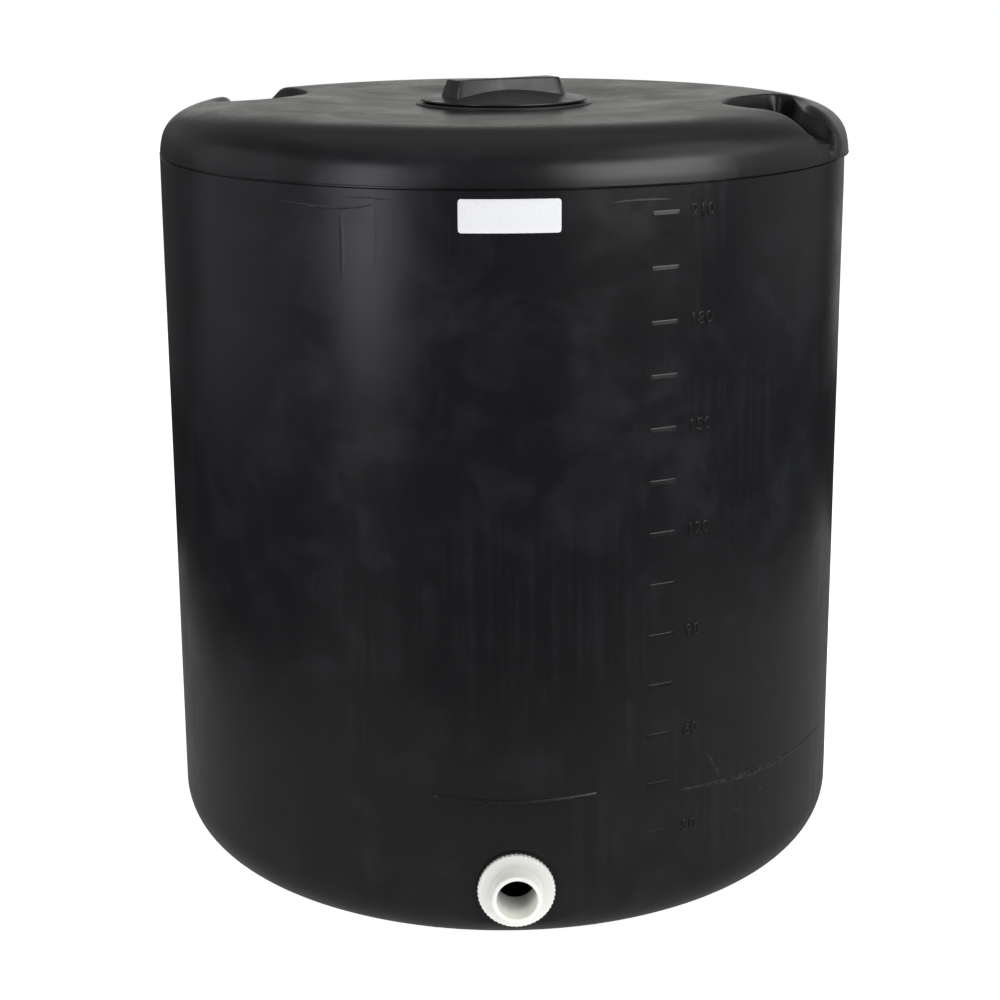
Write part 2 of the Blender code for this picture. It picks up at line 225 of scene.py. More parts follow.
def add_mottle(made, shader, scale, detail, roughness, strength, distance):
    """Soft spots that run the roughness between two values and lift the surface; gives their noise."""
    tree = made.node_tree
    place = add_node(tree, "ShaderNodeTexCoord").outputs["Object"]
    spots = add_node(tree, "ShaderNodeTexNoise", {"Vector": place, "Scale": scale,
                                                  "Detail": detail}).outputs["Fac"]
    varied = add_node(tree, "ShaderNodeMapRange", {"Value": spots, "From Min": 0.3, "From Max": 0.7,
                                                   "To Min": roughness[0], "To Max": roughness[1]})
    tree.links.new(varied.outputs["Result"], shader.inputs["Roughness"])
    bump = add_node(tree, "ShaderNodeBump", {"Height": spots, "Strength": strength, "Distance": distance})
    tree.links.new(bump.outputs["Normal"], shader.inputs["Normal"])
    return spots


def black_polyethylene(settings):
    """Rotationally moulded polyethylene: a waxy satin black, with the mould's cloudy sheen and runs."""
    made, shader = new_material("black_polyethylene", settings.colour, 0.32, 1.51)
    tree = made.node_tree
    place = add_node(tree, "ShaderNodeTexCoord").outputs["Object"]
    # Clouds about 90 mm across, where the melt cooled unevenly
    clouds = add_node(tree, "ShaderNodeTexNoise", {"Vector": place, "Scale": 11.0, "Detail": 5.0,
                                                   "Roughness": 0.62, "Distortion": 0.5}).outputs["Fac"]
    # Upright run marks about 9 mm wide and 250 mm tall, which show in patches about 300 mm across
    stretched = add_node(tree, "ShaderNodeMapping", {"Vector": place, "Scale": (110.0, 110.0, 4.0)})
    runs = add_node(tree, "ShaderNodeTexNoise", {"Vector": stretched.outputs["Vector"], "Scale": 1.0,
                                                 "Detail": 2.0, "Roughness": 0.5}).outputs["Fac"]
    patches = add_node(tree, "ShaderNodeTexNoise", {"Vector": place, "Scale": 3.3,
                                                    "Detail": 3.0}).outputs["Fac"]
    shown = add_node(tree, "ShaderNodeMapRange", {"Value": patches, "From Min": 0.46, "From Max": 0.62,
                                                  "To Min": 0.04, "To Max": 0.55}).outputs["Result"]
    both = add_node(tree, "ShaderNodeMix", {"Factor": shown, "A": clouds, "B": runs},
                    data_type="FLOAT").outputs["Result"]
    roughness = add_node(tree, "ShaderNodeMapRange", {"Value": both, "From Min": 0.34, "From Max": 0.66,
                                                      "To Min": 0.27, "To Max": 0.37})
    tree.links.new(roughness.outputs["Result"], shader.inputs["Roughness"])
    # A dusty bloom in the clouds and runs lifts the black; the lift is partly dust and partly painted sheen
    dust_and_sheen_colour = [part * 1.75 for part in settings.colour]
    dust_and_sheen_ramp = add_node(tree, "ShaderNodeValToRGB", {"Fac": both})
    for stop, position, colour in zip(dust_and_sheen_ramp.color_ramp.elements, (0.48, 0.70), (settings.colour, dust_and_sheen_colour)):
        stop.position = position
        stop.color = (*colour, 1.0)
    tree.links.new(dust_and_sheen_ramp.outputs["Color"], shader.inputs["Base Color"])
    # The wall swells a little over about 70 mm. The mould's blasted skin has 0.3 mm grit, drawn at 2 mm so
    # that it shows
    swell = add_node(tree, "ShaderNodeTexNoise", {"Vector": place, "Scale": 14.0,
                                                  "Detail": 2.0}).outputs["Fac"]
    grit = add_node(tree, "ShaderNodeTexNoise", {"Vector": place, "Scale": 500.0,
                                                 "Detail": 2.0}).outputs["Fac"]
    broad = add_node(tree, "ShaderNodeBump", {"Height": swell, "Strength": 0.05, "Distance": 0.002})
    fine = add_node(tree, "ShaderNodeBump", {"Height": grit, "Strength": 0.10, "Distance": 0.0004,
                                             "Normal": broad.outputs["Normal"]})
    tree.links.new(fine.outputs["Normal"], shader.inputs["Normal"])
    return made


def scuffed_polyethylene(settings):
    """The same plastic where it was creased or rubbed: stress-whitened to a dull grey, a little rougher. The
    grey is partly painted reflection of the floor and lights.
    """
    made, shader = new_material("scuffed_polyethylene", settings.scuff, 0.45, 1.51)
    # Rubbed patches about 6 mm across, whose light grey is partly real whitening and partly painted
    # reflection
    rubs_and_reflection = add_mottle(made, shader, 160.0, 4.0, (0.36, 0.52), 0.15, 0.0004)
    worn_and_reflection = add_node(made.node_tree, "ShaderNodeValToRGB", {"Fac": rubs_and_reflection})
    for stop, position, colour in zip(worn_and_reflection.color_ramp.elements, (0.40, 0.68),
                                      (settings.colour, settings.scuff)):
        stop.position = position
        stop.color = (*colour, 1.0)
    made.node_tree.links.new(worn_and_reflection.outputs["Color"], shader.inputs["Base Color"])
    return made


def black_polypropylene(settings):
    """Injection moulded polypropylene: a tighter satin than the shell's, with a fine spark-eroded grain."""
    made, shader = new_material("black_polypropylene", settings.colour, 0.30, 1.49)
    tree = made.node_tree
    place = add_node(tree, "ShaderNodeTexCoord").outputs["Object"]
    # Handling marks about 25 mm across
    marks = add_node(tree, "ShaderNodeTexNoise", {"Vector": place, "Scale": 40.0,
                                                  "Detail": 3.0}).outputs["Fac"]
    roughness = add_node(tree, "ShaderNodeMapRange", {"Value": marks, "From Min": 0.3, "From Max": 0.7,
                                                      "To Min": 0.24, "To Max": 0.38})
    tree.links.new(roughness.outputs["Result"], shader.inputs["Roughness"])
    # The grain is 0.1 mm, drawn at 1 mm so that it shows
    grain = add_node(tree, "ShaderNodeTexNoise", {"Vector": place, "Scale": 1000.0,
                                                  "Detail": 1.0}).outputs["Fac"]
    bump = add_node(tree, "ShaderNodeBump", {"Height": grain, "Strength": 0.10, "Distance": 0.0002})
    tree.links.new(bump.outputs["Normal"], shader.inputs["Normal"])
    return made


def black_rubber():
    """Die-cut EPDM sheet: matt, with a bloom of talc that makes it a little uneven."""
    made, shader = new_material("black_rubber", linear("#151515"), 0.70, 1.52)
    # Talc in patches about 8 mm across
    add_mottle(made, shader, 120.0, 4.0, (0.60, 0.85), 0.10, 0.0003)
    return made


def natural_polypropylene(settings):
    """Undyed moulded polypropylene: milky, a little see-through at thin edges, with a soft shine."""
    made, shader = new_material("natural_polypropylene", settings.colour, 0.34, 1.49,
                                Subsurface_Weight=0.85, Subsurface_Radius=(1.0, 1.0, 0.9),
                                Subsurface_Scale=0.012)
    # Flow lines about 8 mm apart
    add_mottle(made, shader, 120.0, 3.0, (0.28, 0.44), 0.10, 0.0005)
    return made


def white_vinyl(settings):
    """Printed-film vinyl, left blank: smooth, faintly glossy, with a slight orange peel from its glue."""
    made, shader = new_material("white_vinyl", settings.label_colour, 0.30, 1.53)
    # The orange peel is 2 mm, drawn at about 4.5 mm so that it shows
    add_mottle(made, shader, 220.0, 2.0, (0.26, 0.36), 0.06, 0.0004)
    return made


# Meshes

def grid_faces(rows, columns, wrap):
    """Quads between the points of a grid, which may close on itself along its rows."""
    row = np.arange(rows - 1)[:, None] * columns
    column = np.arange(columns if wrap else columns - 1)[None, :]
    after = (column + 1) % columns
    corners = (row + column, row + after, row + columns + after, row + columns + column)
    return np.stack(np.broadcast_arrays(*corners), axis=-1).reshape(-1, 4)


def skin_mesh(name, grids, sharp=35.0, capped=False):
    """One smooth mesh through grids, each (points, wrap, flip), whose open ends may be capped."""
    points, faces, count = [], [], 0
    for grid, wrap, flip in grids:
        rows, columns = grid.shape[:2]
        quads = grid_faces(rows, columns, wrap) + count
        points.append(grid.reshape(-1, 3))
        faces.append(quads[:, ::-1] if flip else quads)
        count += rows * columns
    mesh = bpy.data.meshes.new(name)
    mesh.from_pydata(np.concatenate(points).tolist(), [], np.concatenate(faces).tolist())
    bm = bmesh.new()
    bm.from_mesh(mesh)
    bmesh.ops.remove_doubles(bm, verts=bm.verts, dist=1e-6)
    bmesh.ops.dissolve_degenerate(bm, dist=1e-7, edges=bm.edges)
    if capped:
        bmesh.ops.holes_fill(bm, edges=[edge for edge in bm.edges if edge.is_boundary])
        bmesh.ops.recalc_face_normals(bm, faces=bm.faces)
    bm.to_mesh(mesh)
    bm.free()
    shade(mesh, sharp)
    return mesh


def shade(mesh, sharp):
    """Smooth shading, with an edge kept sharp where its faces meet at more than an angle in degrees."""
    mesh.shade_smooth()
    mesh.set_sharp_from_angle(angle=math.radians(sharp))


def finish_of(name):
    """The material that an earlier piece brought in."""
    return bpy.data.materials[name]


def add_piece(mesh, finish, body, replaced=()):
    """Links a mesh as a piece of its name that rides on a body and stands for the CAD nodes it replaces."""
    piece = bpy.data.objects.new(mesh.name, mesh)
    bpy.context.scene.collection.objects.link(piece)
    mesh.materials.append(finish)
    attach(piece, body)
    if replaced:
        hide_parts(*replaced)


def add_shell_piece(mesh, replaced=()):
    """Adds a piece of the tank's black shell."""
    add_piece(mesh, finish_of("black_polyethylene"), "tank", replaced)


def blended(value, start, end):
    """0 before start, 1 after end, and an even curve between."""
    t = np.clip((value - start) / (end - start), 0, 1)
    return t * t * (3 - 2 * t)


def round_grid(azimuths, radius, height, middle_x=0.0):
    """Points at every azimuth of a section, with one row for each radius and height."""
    turn = np.radians(azimuths)[None, :]
    x = middle_x + radius[:, None] * np.sin(turn)
    y = -radius[:, None] * np.cos(turn)
    return np.stack(np.broadcast_arrays(x, y, height[:, None]), axis=-1)


def smoothed(points, parts):
    """Points on an even curve through the given ones, ends included."""
    ends = [points[0], *points, points[-1]]
    line = []
    for before, start, end, after in zip(ends, ends[1:], ends[2:], ends[3:]):
        before, start, end, after = (np.array(point, float) for point in (before, start, end, after))
        for t in np.arange(parts) / parts:
            pull = (2 * before - 5 * start + 4 * end - after) * t ** 2
            swing = (3 * start - before - 3 * end + after) * t ** 3
            line.append(0.5 * (2 * start + (end - before) * t + pull + swing))
    return np.array([*line, points[-1]])


# Tank wall

def wall_wave(azimuth, height, depth):
    """How far the wall stands out of true, in slow waves as the mould and the cooling leave it."""
    slow = np.sin(5 * azimuth + 1.3 + 2 * np.sin(3.1 * height)) * np.sin(7.3 * height + 0.6)
    quick = 0.5 * np.sin(13 * azimuth + 4 * height) * np.sin(15 * height + 2 * azimuth)
    # It fades out at the foot, at the seam and on the far left, where the CAD wall is the widest piece
    depth = depth * (1 - blended(-np.sin(azimuth), 0.970, 0.998))
    return depth * (slow + quick) * blended(height, 0.02, 0.12) * (1 - blended(height, SEAM - 0.06, SEAM))


def on_wall(azimuths, heights, lift, depth):
    """Points on the waving wall, raised by a lift; azimuths are in degrees."""
    turn = np.radians(azimuths)
    radius = TANK_RADIUS + wall_wave(turn, heights, depth) + lift
    return np.stack(np.broadcast_arrays(radius * np.sin(turn), -radius * np.cos(turn), heights), axis=-1)


def wall_section(inset, foot_steps, heights):
    """Radius and height up the wall, from the floor plate's edge."""
    turn = np.radians(np.linspace(-90, 0, foot_steps))
    radius = TANK_RADIUS - BASE_ROUNDING + (BASE_ROUNDING - inset) * np.cos(turn)
    height = BASE_ROUNDING + (BASE_ROUNDING - inset) * np.sin(turn)
    return np.append(radius, np.full(len(heights), TANK_RADIUS - inset)), np.append(height, heights)


def flat_top(x):
    """The height of the flat's top edge, which bows up towards its ends."""
    return FLAT_TOP + FLAT_BOW * np.minimum((x / FLAT_HALF) ** 2, 1.3)


def flat_lip(points):
    """How far the plastic round the flat stands out: a lip over its top, and a low one past its ends."""
    above = points[..., 2] - flat_top(points[..., 0])
    beside = np.abs(points[..., 0]) - FLAT_HALF
    lip = FLAT_LIP * np.exp(-((above - 0.0045) / 0.0021) ** 2) * (1 - blended(beside, -0.004, 0.006))
    lip += FLAT_END_LIP * np.exp(-((beside - 0.0022) / 0.0014) ** 2) * (1 - blended(above, 0.0, 0.004))
    return lip * (points[..., 1] < 0)


def press_flat(points, plane):
    """Presses the outlet's flat into the foot of the wall."""
    over = -points[..., 1] - plane
    soft = (over + np.sqrt(over ** 2 + FLAT_SOFTNESS ** 2)) / 2
    above = points[..., 2] - flat_top(points[..., 0])
    points[..., 1] += soft * (1 - blended(above, -0.001, 0.003))
    return points


def cut_outlet_hole(mesh):
    """Opens the wall behind the outlet fitting; its flange and nut cover the hole's edge by 15 mm."""
    bm = bmesh.new()
    bm.from_mesh(mesh)
    middle = Vector((0.0, -FLAT_PLANE, OUTLET_HEIGHT))
    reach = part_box("outlet_nut")[1].x - 0.015
    hole = [face for face in bm.faces if (face.calc_center_median() - middle).length < reach]
    bmesh.ops.delete(bm, geom=hole, context="FACES")
    bm.to_mesh(mesh)
    bm.free()


class OBJECT_OT_tank_wall(bpy.types.Operator):
    """Build the round wall, with its rounded foot and the flat pressed in for the outlet"""
    bl_idname = "object.tank_wall"
    bl_label = "Tank Wall"

    def execute(self, context):
        settings = context.scene.tank_shell
        finish = black_polyethylene(settings)
        # Columns are closer at the flat's ends, and rows at its top edge and under the seam
        side = np.arange(10.9, 14.2, 0.15)
        azimuths = np.concatenate([-side[::-1], np.arange(-10.5, 10.6, 0.5), side,
                                   np.arange(14.5, 345.5, 1.5)])
        edge_low, edge_high, seam_low = FLAT_TOP - 0.006, FLAT_TOP + 0.020, SEAM - 0.006
        heights = np.concatenate([np.arange(BASE_ROUNDING, edge_low, 0.006)[1:],
                                  np.arange(edge_low, edge_high, 0.001),
                                  np.arange(edge_high, seam_low, 0.010),
                                  np.arange(SEAM - 0.0045, SEAM - 0.0015, 0.0007), [SEAM]])
        radius, height = wall_section(0.0, 22, heights)
        outside = round_grid(azimuths, radius, height)
        turn = np.arctan2(outside[..., 0], -outside[..., 1])
        swell = wall_wave(turn, outside[..., 2], settings.ripple) + flat_lip(outside)
        swell -= SEAM_GAP * blended(outside[..., 2], SEAM - 0.0036, SEAM - 0.0022)
        outside[..., 0] += swell * np.sin(turn)
        outside[..., 1] -= swell * np.cos(turn)
        outside = press_flat(outside, FLAT_PLANE)
        low = np.linspace(BASE_ROUNDING + 0.01, FLAT_TOP + 2 * SKIN, 9)
        radius, height = wall_section(SKIN, 8, np.append(low, np.linspace(0.3, SEAM, 5)))
        inside = press_flat(round_grid(np.arange(0, 360, 3.0), radius, height), FLAT_PLANE - SKIN)
        mesh = skin_mesh("tank_wall", [(outside, True, False), (inside, True, True)])
        cut_outlet_hole(mesh)
        add_shell_piece(mesh, WALL_NODES)
        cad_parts["floor_plate"].material_slots[0].material = finish
        return {"FINISHED"}


# Tank top

def along_line(radius, height, steps):
    """Points along a section at given distances from its start."""
    run = np.append(0, np.cumsum(np.hypot(np.diff(radius), np.diff(height))))
    return np.interp(steps, run, radius), np.interp(steps, run, height)


def dome_section(inset, step):
    """The top half's section from the seam in to the neck: radius, height and distance along it."""
    turn = np.radians(np.linspace(0, 90, 600))
    power = 2 / SHOULDER_POWER
    rise = DECK - SEAM - DOME_SKIRT - inset
    radius = DOME_RADIUS - inset - (SHOULDER_REACH - inset) * (1 - np.cos(turn) ** power)
    height = SEAM + DOME_SKIRT + rise * np.sin(turn) ** power
    radius = np.concatenate([[radius[0]], radius, [NECK_RADIUS]])
    height = np.concatenate([[SEAM], height, [height[-1]]])
    whole = np.hypot(np.diff(radius), np.diff(height)).sum()
    # The rows are close together until 25 mm inside the pockets, and further apart from there to the neck
    fine_end = whole - (min(outline[0] for outline in POCKET_INSIDE) - 0.025 - NECK_RADIUS)
    steps = np.append(np.arange(0, fine_end, step), np.linspace(fine_end, whole, 10))
    radius, height = along_line(radius, height, steps)
    radius = radius - SKIRT_LEAN * np.clip((height - SEAM) / LEAN_HEIGHT, 0, 1)
    height = height - (DECK - DECK_MIDDLE) * (1 - blended(radius, SAG_RADIUS, SAG_RIM))
    return radius, height, steps


def pocket_plan(lug_turn, growth):
    """The plan of one lug's pocket, moved outwards by a growth."""
    outline = smoothed([*POCKET_INSIDE, *LUG_FACE, *MOUTH_OUTSIDE, POCKET_INSIDE[0]], 4)[:-1]
    before = outline - np.roll(outline, 1, axis=0)
    after = np.roll(outline, -1, axis=0) - outline
    before /= np.linalg.norm(before, axis=1)[:, None]
    after /= np.linalg.norm(after, axis=1)[:, None]
    along = before + after
    along /= np.linalg.norm(along, axis=1)[:, None]
    outline = outline + growth * np.stack([-along[:, 1], along[:, 0]], axis=1)
    c, s = math.cos(math.radians(lug_turn)), math.sin(math.radians(lug_turn))
    return outline @ np.array([[c, s], [-s, c]]) + (DOME_X, 0.0)


def depth_inside(points, outline):
    """How far plan points lie inside an outline, and the way inwards from the nearest edge."""
    start, way = outline, np.roll(outline, -1, axis=0) - outline
    off = points[:, None] - start
    t = np.clip((off * way).sum(-1) / (way * way).sum(-1), 0, 1)
    gap = off - t[..., None] * way
    distance = np.linalg.norm(gap, axis=-1)
    nearest = distance.argmin(axis=1)
    pick = np.arange(len(points))
    gap, distance = gap[pick, nearest], distance[pick, nearest]
    end = start + way
    crosses = (start[:, 1] > points[:, None, 1]) != (end[:, 1] > points[:, None, 1])
    rise = np.where(way[:, 1] == 0, 1e-12, way[:, 1])
    cut = start[:, 0] + (points[:, None, 1] - start[:, 1]) * way[:, 0] / rise
    inside = (crosses & (points[:, None, 0] < cut)).sum(axis=1) % 2 == 1
    sign = np.where(inside, 1.0, -1.0)
    return distance * sign, gap * (sign / np.maximum(distance, 1e-9))[:, None]


def pocket_wall(depth, rim, fall):
    """The wall between deck and floor, by the depth inside the plan: its own plan depth and its fall."""
    foot, draft = 0.014, 0.0075
    # The depths in the plan at which the rim, the straight wall, the rounded foot and all of it end
    rim_end, wall_end, foot_end, floor_at = 0.004, 0.009, 0.020, 0.026
    over = np.radians(90 * np.clip((depth + rim) / (rim + rim_end), 0, 1))
    down = np.clip((depth - rim_end) / (wall_end - rim_end), 0, 1)
    under = np.radians(90 * np.clip((depth - wall_end) / (foot_end - wall_end), 0, 1))
    level = np.clip((depth - foot_end) / (floor_at - foot_end), 0, 1)
    plan = -rim + rim * np.sin(over) + draft * down + foot * (1 - np.cos(under))
    plan += (floor_at - draft - foot) * level
    drop = rim * (1 - np.cos(over)) + (fall - foot - rim) * down + foot * np.sin(under)
    outside = (depth < -rim) | (depth > floor_at)
    return np.where(outside, depth, plan), np.where(depth > floor_at, fall, drop)


def channel_line(section, floor, reach):
    """The dome's section with a level channel cut out to its side, as radius and height."""
    radius, height, steps = section
    soft = 0.014
    first = steps[np.argmax(radius < reach - soft)]
    last = steps[np.argmax(height > floor - soft)]
    turn = np.radians(90 * np.clip((first - steps) / (first - last), 0, 1))
    cut_radius = np.where(steps >= first, radius, reach - soft + soft * np.sin(turn))
    cut_height = np.where(steps >= first, floor, floor - soft + soft * np.cos(turn))
    return np.where(steps <= last, radius, cut_radius), np.where(steps <= last, height, cut_height)


def sink_pocket(points, section, lug_turn, inset, rim):
    """Sinks one lug's pocket, and its channel out to the side, into the grid of the dome."""
    cut_radius, cut_height = channel_line(section, POCKET_FLOOR - inset, DOME_RADIUS - inset)
    scale = (cut_radius / section[0])[:, None]
    target = points.copy()
    target[..., 0] = DOME_X + (points[..., 0] - DOME_X) * scale
    target[..., 1] = points[..., 1] * scale
    target[..., 2] = cut_height[:, None]

    outline, margin = pocket_plan(lug_turn, inset), 0.03
    near = (points[..., :2] > outline.min(axis=0) - margin).all(axis=-1)
    near &= (points[..., :2] < outline.max(axis=0) + margin).all(axis=-1)
    here, there = points[near], target[near]
    depth, inwards = depth_inside(here[:, :2], outline)
    back = Matrix.Rotation(math.radians(-lug_turn), 2)
    own = (here[:, :2] - (DOME_X, 0.0)) @ np.array(back).T
    # The lug's own edge is rounded more than the rest of the rim
    rims = rim + LUG_ROUNDING * blended(own[:, 0], 0.418, 0.432) * blended(-own[:, 1], -0.05, 0.03)
    fall = DECK - POCKET_FLOOR
    plan, drop = pocket_wall(depth, rims, fall)
    share = (drop / fall)[:, None]
    # Where the channel runs out on the side, the plan is left as it is
    hold = np.clip(np.linalg.norm(there - here, axis=1) / 0.02, 0, 1)[:, None]
    moved = here + share * (there - here)
    moved[:, :2] += inwards * (plan - depth)[:, None] * hold
    points[near] = moved
    return points


def dome_azimuths(fine, coarse):
    """Azimuths round the dome, closer together at the lugs."""
    (a, b), (c, d) = LUG_ZONES
    parts = [(a, b, fine), (b, c, coarse), (c, d, fine), (d, a + 360, coarse)]
    return np.concatenate([np.linspace(low, high, round((high - low) / step), endpoint=False)
                           for low, high, step in parts])


class OBJECT_OT_tank_top(bpy.types.Operator):
    """Build the domed top with its shoulder, deck and the two lifting lugs' pockets"""
    bl_idname = "object.tank_top"
    bl_label = "Tank Top"

    def execute(self, context):
        settings = context.scene.tank_shell
        azimuths = dome_azimuths(0.23, 1.5)
        # The inside has a coarser grid and a rounder rim
        sides = ((0.0, azimuths, 0.0022, settings.rim),
                 (SKIN, dome_azimuths(1.2, 4.0), 0.009, 2 * settings.rim))
        grids = []
        for inset, around, step, rim in sides:
            section = dome_section(inset, step)
            points = round_grid(around, section[0], section[1], DOME_X)
            for lug_turn in LUG_TURNS:
                points = sink_pocket(points, section, lug_turn, inset, rim)
            grids.append((points, True, inset > 0))
        lip = np.array([(-0.0090, 0.0), (-0.0020, 0.0), (-0.0006, 0.0002), (0.0, 0.0009)])
        grids.append((round_grid(azimuths, DOME_RADIUS + lip[:, 0], SEAM + lip[:, 1], DOME_X), True, False))
        add_shell_piece(skin_mesh("tank_top", grids, 60.0), [*SHOULDER_NODES, "roof_deck"])
        return {"FINISHED"}


# Stretches where the flash was left wider: azimuth of the middle, half the length in degrees, and how much
WIDE_FLASH = ((-23, 6, 1.3), (72, 8, 1.2), (-68, 18, 0.6), (22, 7, 0.5))


class OBJECT_OT_seam_flash(bpy.types.Operator):
    """Build the thin, ragged lip of flash where the two halves of the mould met"""
    bl_idname = "object.tank_seam_flash"
    bl_label = "Seam Flash"

    def execute(self, context):
        azimuths = np.arange(0, 360, 0.5)
        turn = np.radians(azimuths)
        rag = 0.5 + 0.25 * np.sin(23 * turn) * np.sin(7 * turn + 1)
        rag += 0.25 * np.sin(61 * turn + np.sin(5 * turn))
        off_centre = (azimuths + 180) % 360 - 180
        proud = sum(much * np.exp(-((off_centre - middle) / half) ** 4)
                    for middle, half, much in WIDE_FLASH)
        out = context.scene.tank_shell.flash * (0.55 * rag + proud)
        edge = np.maximum(TANK_RADIUS, DOME_RADIUS + DOME_X * np.sin(turn)) - 0.0008 + out
        root = np.full_like(edge, TANK_RADIUS - 0.004)
        droop = 0.0010 * np.sin(9 * turn + 2) * np.sin(4 * turn)
        rows = [(root, -0.0012), (edge - 0.0006, -0.0011), (edge, -0.0008), (edge, -0.0004),
                (edge - 0.0006, -0.0001), (root, 0.0001)]
        points = np.stack([np.stack([radius * np.sin(turn), -radius * np.cos(turn), SEAM + rise + droop],
                                    axis=-1) for radius, rise in rows])
        add_shell_piece(skin_mesh("seam_flash", [(points, True, False)]))
        return {"FINISHED"}


# Marks, creases and label on the wall

def mark_height(number):
    """The height of a level bar, counted from the lowest."""
    return MARK_FIRST + number * MARK_STEP


def patch(azimuth, height, width, tall, corner, rows, lift_at, depth):
    """A round-cornered patch on the wall; lift_at gives its lift at places from -1 to 1 across and up."""
    half = width / 2
    ends = corner * (1 - np.cos(np.radians(np.linspace(0, 90, 7))))
    across = np.concatenate([-half + ends, np.linspace(-half + corner, half - corner, 12)[1:-1],
                             (half - ends)[::-1]])
    into = np.clip(corner - (half - np.abs(across)), 0, corner)
    tall_here = tall / 2 - corner + np.sqrt(np.maximum(corner ** 2 - into ** 2, 0))
    up = np.linspace(-1, 1, rows)
    heights = height + up[:, None] * tall_here[None, :]
    azimuths = np.broadcast_to(azimuth + np.degrees(across / TANK_RADIUS), heights.shape)
    lift = lift_at(*np.broadcast_arrays((across / half)[None, :], up[:, None]))
    return on_wall(azimuths, heights, lift, depth)


class OBJECT_OT_level_bars(bpy.types.Operator):
    """Build the raised level bars, one for every 15 US gallons"""
    bl_idname = "object.tank_level_bars"
    bl_label = "Level Bars"

    def execute(self, context):
        settings, depth = context.scene.tank_marks, context.scene.tank_shell.ripple

        def lift_at(across, up):
            # The face leans back, so its foot stands out the most
            crown = (1 - across ** 12) * (1 - up ** 8) * (0.62 - 0.38 * up)
            return settings.relief * crown - 0.0001

        bars = []
        for number in range(MARK_COUNT):
            points = patch(MARK_AZIMUTH, mark_height(number), settings.bar_length, settings.bar_height,
                           settings.bar_height * 0.40, 15, lift_at, depth)
            bars.append((points, False, False))
        add_shell_piece(skin_mesh("level_bars", bars, 60.0))
        return {"FINISHED"}


class OBJECT_OT_level_numbers(bpy.types.Operator):
    """Build the raised plain numbers beside every second level bar"""
    bl_idname = "object.tank_level_numbers"
    bl_label = "Level Numbers"

    def execute(self, context):
        settings, depth = context.scene.tank_marks, context.scene.tank_shell.ripple
        # The figures take up this share of the font's size
        figure_share = 0.72
        for number in range(0, MARK_COUNT, 2):
            gallons = GALLONS_FIRST + GALLONS_STEP * number
            text = bpy.data.curves.new("number", "FONT")
            text.body = str(gallons)
            text.size = settings.number_height / figure_share
            text.space_character = 1.08
            text.offset = 0.0001
            text.align_y = "CENTER"
            text.resolution_u = 3
            text.extrude = 0.0003
            text.bevel_depth = 0.0011
            text.bevel_resolution = 2
            holder = bpy.data.objects.new("number", text)
            context.scene.collection.objects.link(holder)
            context.view_layer.update()
            mesh = bpy.data.meshes.new_from_object(holder)
            bpy.data.objects.remove(holder, do_unlink=True)
            mesh.name = f"level_number_{gallons:03d}"
            flat = np.array([vertex.co for vertex in mesh.vertices])
            azimuths = NUMBER_AZIMUTH + np.degrees(flat[:, 0] / TANK_RADIUS)
            raised = on_wall(azimuths, mark_height(number) + flat[:, 1], flat[:, 2], depth)
            for vertex, place in zip(mesh.vertices, raised):
                vertex.co = place
            mesh.materials.clear()
            shade(mesh, 35)
            add_shell_piece(mesh)
        return {"FINISHED"}


# Creases that handling left in the wall: azimuth and height along each, its width, how far it stands out
CREASES = [
    ([(26.8, 0.2094), (36.0, 0.2040), (45.0, 0.1985), (56.0, 0.1975), (68.8, 0.1935)], 0.0085, 0.0011),
    ([(31.5, 0.2560), (33.2, 0.2360), (34.9, 0.2090)], 0.0050, 0.0003),
    ([(-36.6, 1.0273), (-32.6, 1.0245), (-28.0, 1.0224), (-23.0, 1.0253), (-20.2, 1.0302)], 0.0036, 0.0005),
    ([(14.2, 1.0308), (18.5, 1.0322), (23.7, 1.0315)], 0.0038, 0.0008),
    ([(-25.0, 1.0370), (-21.5, 1.0385), (-17.5, 1.0360)], 0.0030, 0.0003),
    ([(20.5, 1.0630), (20.5, 1.0770)], 0.0022, 0.0004),
    ([(49.0, 0.1900), (50.3, 0.1870)], 0.0060, 0.0003),
    ([(43.6, 0.1720), (44.6, 0.1670)], 0.0055, 0.0003),
    ([(37.5, 0.1560), (39.6, 0.1500)], 0.0055, 0.0003),
]
# Upright ripples, where the plastic dragged as it shrank off the mould: azimuth, top, foot, width, relief
RIPPLES = [(-25.7, 1.018, 0.933, 0.009, 0.00020), (-20.6, 1.043, 0.950, 0.012, 0.00016),
           (-9.2, 1.020, 0.960, 0.006, 0.00016), (29.8, 0.994, 0.970, 0.004, 0.00020)]


def ribbon(path, width, relief, depth):
    """A low rounded ridge along a path on the wall, faded out at its ends, as a grid for skin_mesh."""
    line = smoothed(path, 8)
    flat = np.stack([np.radians(line[:, 0]) * TANK_RADIUS, line[:, 1]], axis=1)
    along = np.gradient(flat, axis=0)
    along /= np.linalg.norm(along, axis=1)[:, None]
    side = np.stack([-along[:, 1], along[:, 0]], axis=1)
    taper = np.sin(np.linspace(0, math.pi, len(line))) ** 0.6
    across = np.linspace(-1, 1, 9)
    place = flat[:, None] + side[:, None] * (width / 2 * taper)[:, None, None] * across[None, :, None]
    lift = relief * taper[:, None] * (0.5 + 0.5 * np.cos(math.pi * across))[None, :] + 0.00003
    points = on_wall(np.degrees(place[..., 0] / TANK_RADIUS), place[..., 1], lift, depth)
    return points, False, True


